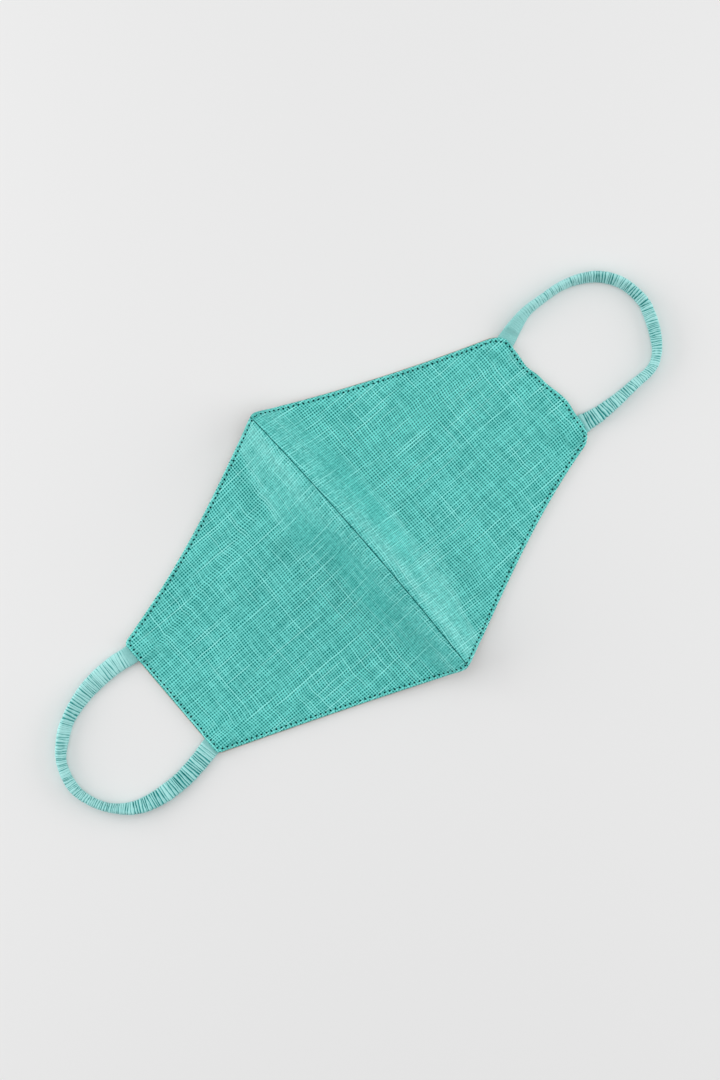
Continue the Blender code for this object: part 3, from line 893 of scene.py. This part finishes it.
# how far a full pleat draws in the strap's faces, its sides and the outermost of its sides
face_draw = 0.62 * MM
side_draw = 0.20 * MM
edge_draw = 0.35 * MM


def smooth_way(rows, count):
    """Places spaced evenly along a smooth curve through the rows."""
    padded = np.concatenate((rows[:1], rows, rows[-1:]))
    steps_between = 60
    t = np.linspace(0.0, 1.0, steps_between, endpoint=False)[:, None]
    fine = []
    for a, b, c, d in zip(padded, padded[1:], padded[2:], padded[3:]):
        fine.append(0.5 * (2 * b + (c - a) * t + (2 * a - 5 * b + 4 * c - d) * t ** 2
                           + (3 * b - a - 3 * c + d) * t ** 3))
    fine = np.concatenate(fine + [rows[-1:]])
    travelled = np.concatenate(((0.0,), np.cumsum(np.hypot(*np.diff(fine[:, :2], axis=0).T))))
    wanted = np.linspace(0.0, travelled[-1], count)
    return np.column_stack([np.interp(wanted, travelled, part) for part in fine.T]), travelled[-1]


def gathered_strap(side, seed):
    """A band swept along its way, its cloth drawn into uneven pleats."""
    rows = strap_points(side)
    length = smooth_way(rows, 2)[1]
    count = round(length / ring_step)
    way = smooth_way(rows, count)[0]
    place = np.linspace(0.0, length, count)
    forward = np.gradient(way[:, :2], axis=0)
    forward /= np.hypot(*forward.T)[:, None]
    outward = np.column_stack((forward[:, 1], -forward[:, 0], np.zeros(count))) * -way_out[side]
    up = np.array((0.0, 0.0, 1.0))
    roll, width = way[:, 2:3], way[:, 3:4] * strap_width
    past_edge = np.min([
        way_out[side] * (way[:, 0] + outward[:, 0] * half
                         - ear_x(side, way[:, 1] + outward[:, 1] * half))
        for half in (-strap_width / 2, 0.0, strap_width / 2)], axis=0)
    free = eased((past_edge - cloth_gap) / tail_ease)[:, None]
    share = place / length
    table = np.array(gather_rows[side])
    pitch = np.interp(share, table[:, 0], table[:, 1]) * MM
    drawn_in = eased((past_edge - cloth_gap) / pleat_start)[:, None]
    strength = np.interp(share, table[:, 0], table[:, 2])[:, None] * drawn_in

    draw = random.Random(seed)
    ends = [0.0]
    while ends[-1] < length + 4 * MM:
        ends.append(ends[-1] + draw.uniform(*pleat_spread) * np.interp(ends[-1], place, pitch))
    ends = np.array(ends)
    depth = np.array([draw.choice(pleat_depths) for _ in ends])
    slant = np.array([draw.uniform(-pleat_slant, pleat_slant) for _ in ends])

    angle = np.linspace(0.0, 2 * math.pi, section_sides, endpoint=False)[None, :]
    across = np.sign(np.cos(angle)) * np.abs(np.cos(angle)) ** (2 / section_power)
    through = np.sign(np.sin(angle)) * np.abs(np.sin(angle)) ** (2 / section_power)
    where_across = 4 * MM * across + np.where(through > 0, 0.0, 20 * MM)
    wander = soft_noise(place[:, None], where_across, 3.0 * MM, seed)
    shifted = place[:, None] + np.interp(place, ends, slant)[:, None] * across
    shifted = shifted + pleat_wander * wander
    phase = np.interp(shifted, ends, np.arange(len(ends)))
    tuck = phase % 1.0
    valley = np.exp(-tuck / valley_reach[0]) + np.exp(-(1 - tuck) / valley_reach[1])
    fine = 0.5 + 0.5 * np.cos(2 * math.pi * (2 * phase + 0.35 * soft_noise(
        place[:, None], where_across, 1.5 * MM, seed + 20)))
    fade = 0.9 + 0.8 * soft_noise(place[:, None], 1.3 * where_across, 3.2 * MM, seed + 40)
    fade = np.clip(fade, 0.35, 1.3)
    pleat_depth = np.interp(shifted, ends, depth) * fade
    drawn = (valley * pleat_depth + 0.22 * fine * (1.4 - fade)) * strength
    edge_swell = np.abs(across) ** 6
    half_width = width / 2 - drawn * (side_draw + edge_draw * edge_swell)
    full = tail_thickness + (strap_thickness - tail_thickness) * free
    half_thick = full / 2 - drawn * face_draw
    rest = np.hypot(width / 2 * np.sin(roll), full / 2 * np.cos(roll))
    tail_z = lining_wall + cloth_gap + tail_thickness / 2
    centre = np.column_stack((way[:, :2], tail_z + (rest - tail_z) * free))
    wide = outward * np.cos(roll) + up * np.sin(roll)
    thick = up * np.cos(roll) - outward * np.sin(roll)
    points = (centre[:, None] + wide[:, None] * (half_width * across)[..., None]
              + thick[:, None] * (half_thick * through)[..., None])
    points[..., 2] = np.maximum(points[..., 2], 0.02 * MM * free)
    index = np.arange(points.shape[0] * section_sides).reshape(-1, section_sides)
    ring, following = index[:-1], index[1:]
    faces = np.stack((ring, np.roll(ring, -1, 1), np.roll(following, -1, 1), following), axis=-1)
    faces = faces.reshape(-1, 4)
    faces = faces if side == "right" else faces[:, ::-1]
    first, last = index[0].tolist(), index[-1].tolist()
    caps = [first[::-1], last] if side == "right" else [first, last[::-1]]
    mesh = bpy.data.meshes.new("ruched_strap_" + side)
    mesh.from_pydata(points.reshape(-1, 3).tolist(), [], faces.tolist() + caps)
    mesh.shade_smooth()
    piece = bpy.data.objects.new("ruched_strap_" + side, mesh)
    scene.collection.objects.link(piece)
    for layer_name, values in (("fold", drawn), ("gather", np.broadcast_to(strength, drawn.shape))):
        layer = mesh.attributes.new(layer_name, "FLOAT", "POINT")
        layer.data.foreach_set("value", values.astype(np.float32).ravel())
    layer = mesh.uv_layers.new(name="cloth")
    loops = np.empty(len(mesh.loops), dtype=np.int32)
    mesh.loops.foreach_get("vertex_index", loops)
    around = np.broadcast_to(across * strap_width / 2, shifted.shape)
    uv = np.stack((shifted, around), axis=-1).reshape(-1, 2)
    layer.uv.foreach_set("vector", uv[loops].astype(np.float32).ravel())
    return piece


strap_material, strap_shader = new_cloth("gathered cotton", 0.60, 0.5, 0.12, (0.9, 1.0, 1.0, 1.0))
strap_along, strap_around = uv_place(strap_material, "cloth")
strap_marks = {}
for name in ("fold", "gather"):
    mark = strap_material.node_tree.nodes.new("ShaderNodeAttribute")
    mark.attribute_name = name
    strap_marks[name] = Wire(mark.outputs["Fac"])
strap_fold = strap_marks["fold"]
strap_thread = strap_along.vector(strap_around * 0.35).noise(2200.0, 1.0)
strap_patch = strap_along.vector(strap_around).noise(120.0, 2.0)
strap_light = (0.55 * strap_thread + 0.45 * strap_patch).between(0.25, 0.75)
strap_colour = strap_light.mixed((0.19, 0.52, 0.50, 1.0), (0.29, 0.65, 0.63, 1.0))
# Pleat crests are painted pale where the strap is gathered: painted highlight on the tops of the
# folds.
strap_crest_highlight = (1 - strap_fold.between(0.0, 0.45)) * strap_marks["gather"].between(0.1, 0.8)
strap_colour = strap_crest_highlight.mixed(strap_colour, (0.44, 0.84, 0.82, 1.0))
# Pleat valleys are painted dark teal: painted shade in the folds' creases.
strap_colour = strap_fold.between(0.20, 0.78).mixed(strap_colour, (0.000, 0.31, 0.30, 1.0))
strap_bump = strap_thread.node("ShaderNodeBump", None, {
    "Strength": 0.3, "Distance": 0.08 * MM, "Height": strap_thread})
strap_material.node_tree.links.new(strap_colour.socket, strap_shader.inputs["Base Color"])
strap_material.node_tree.links.new(strap_bump.socket, strap_shader.inputs["Normal"])
for side, seed in (("left", 11), ("right", 23)):
    strap = gathered_strap(side, seed)
    strap.data.materials.append(strap_material)
    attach(strap, "root")
    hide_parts("ear_loop_" + side)
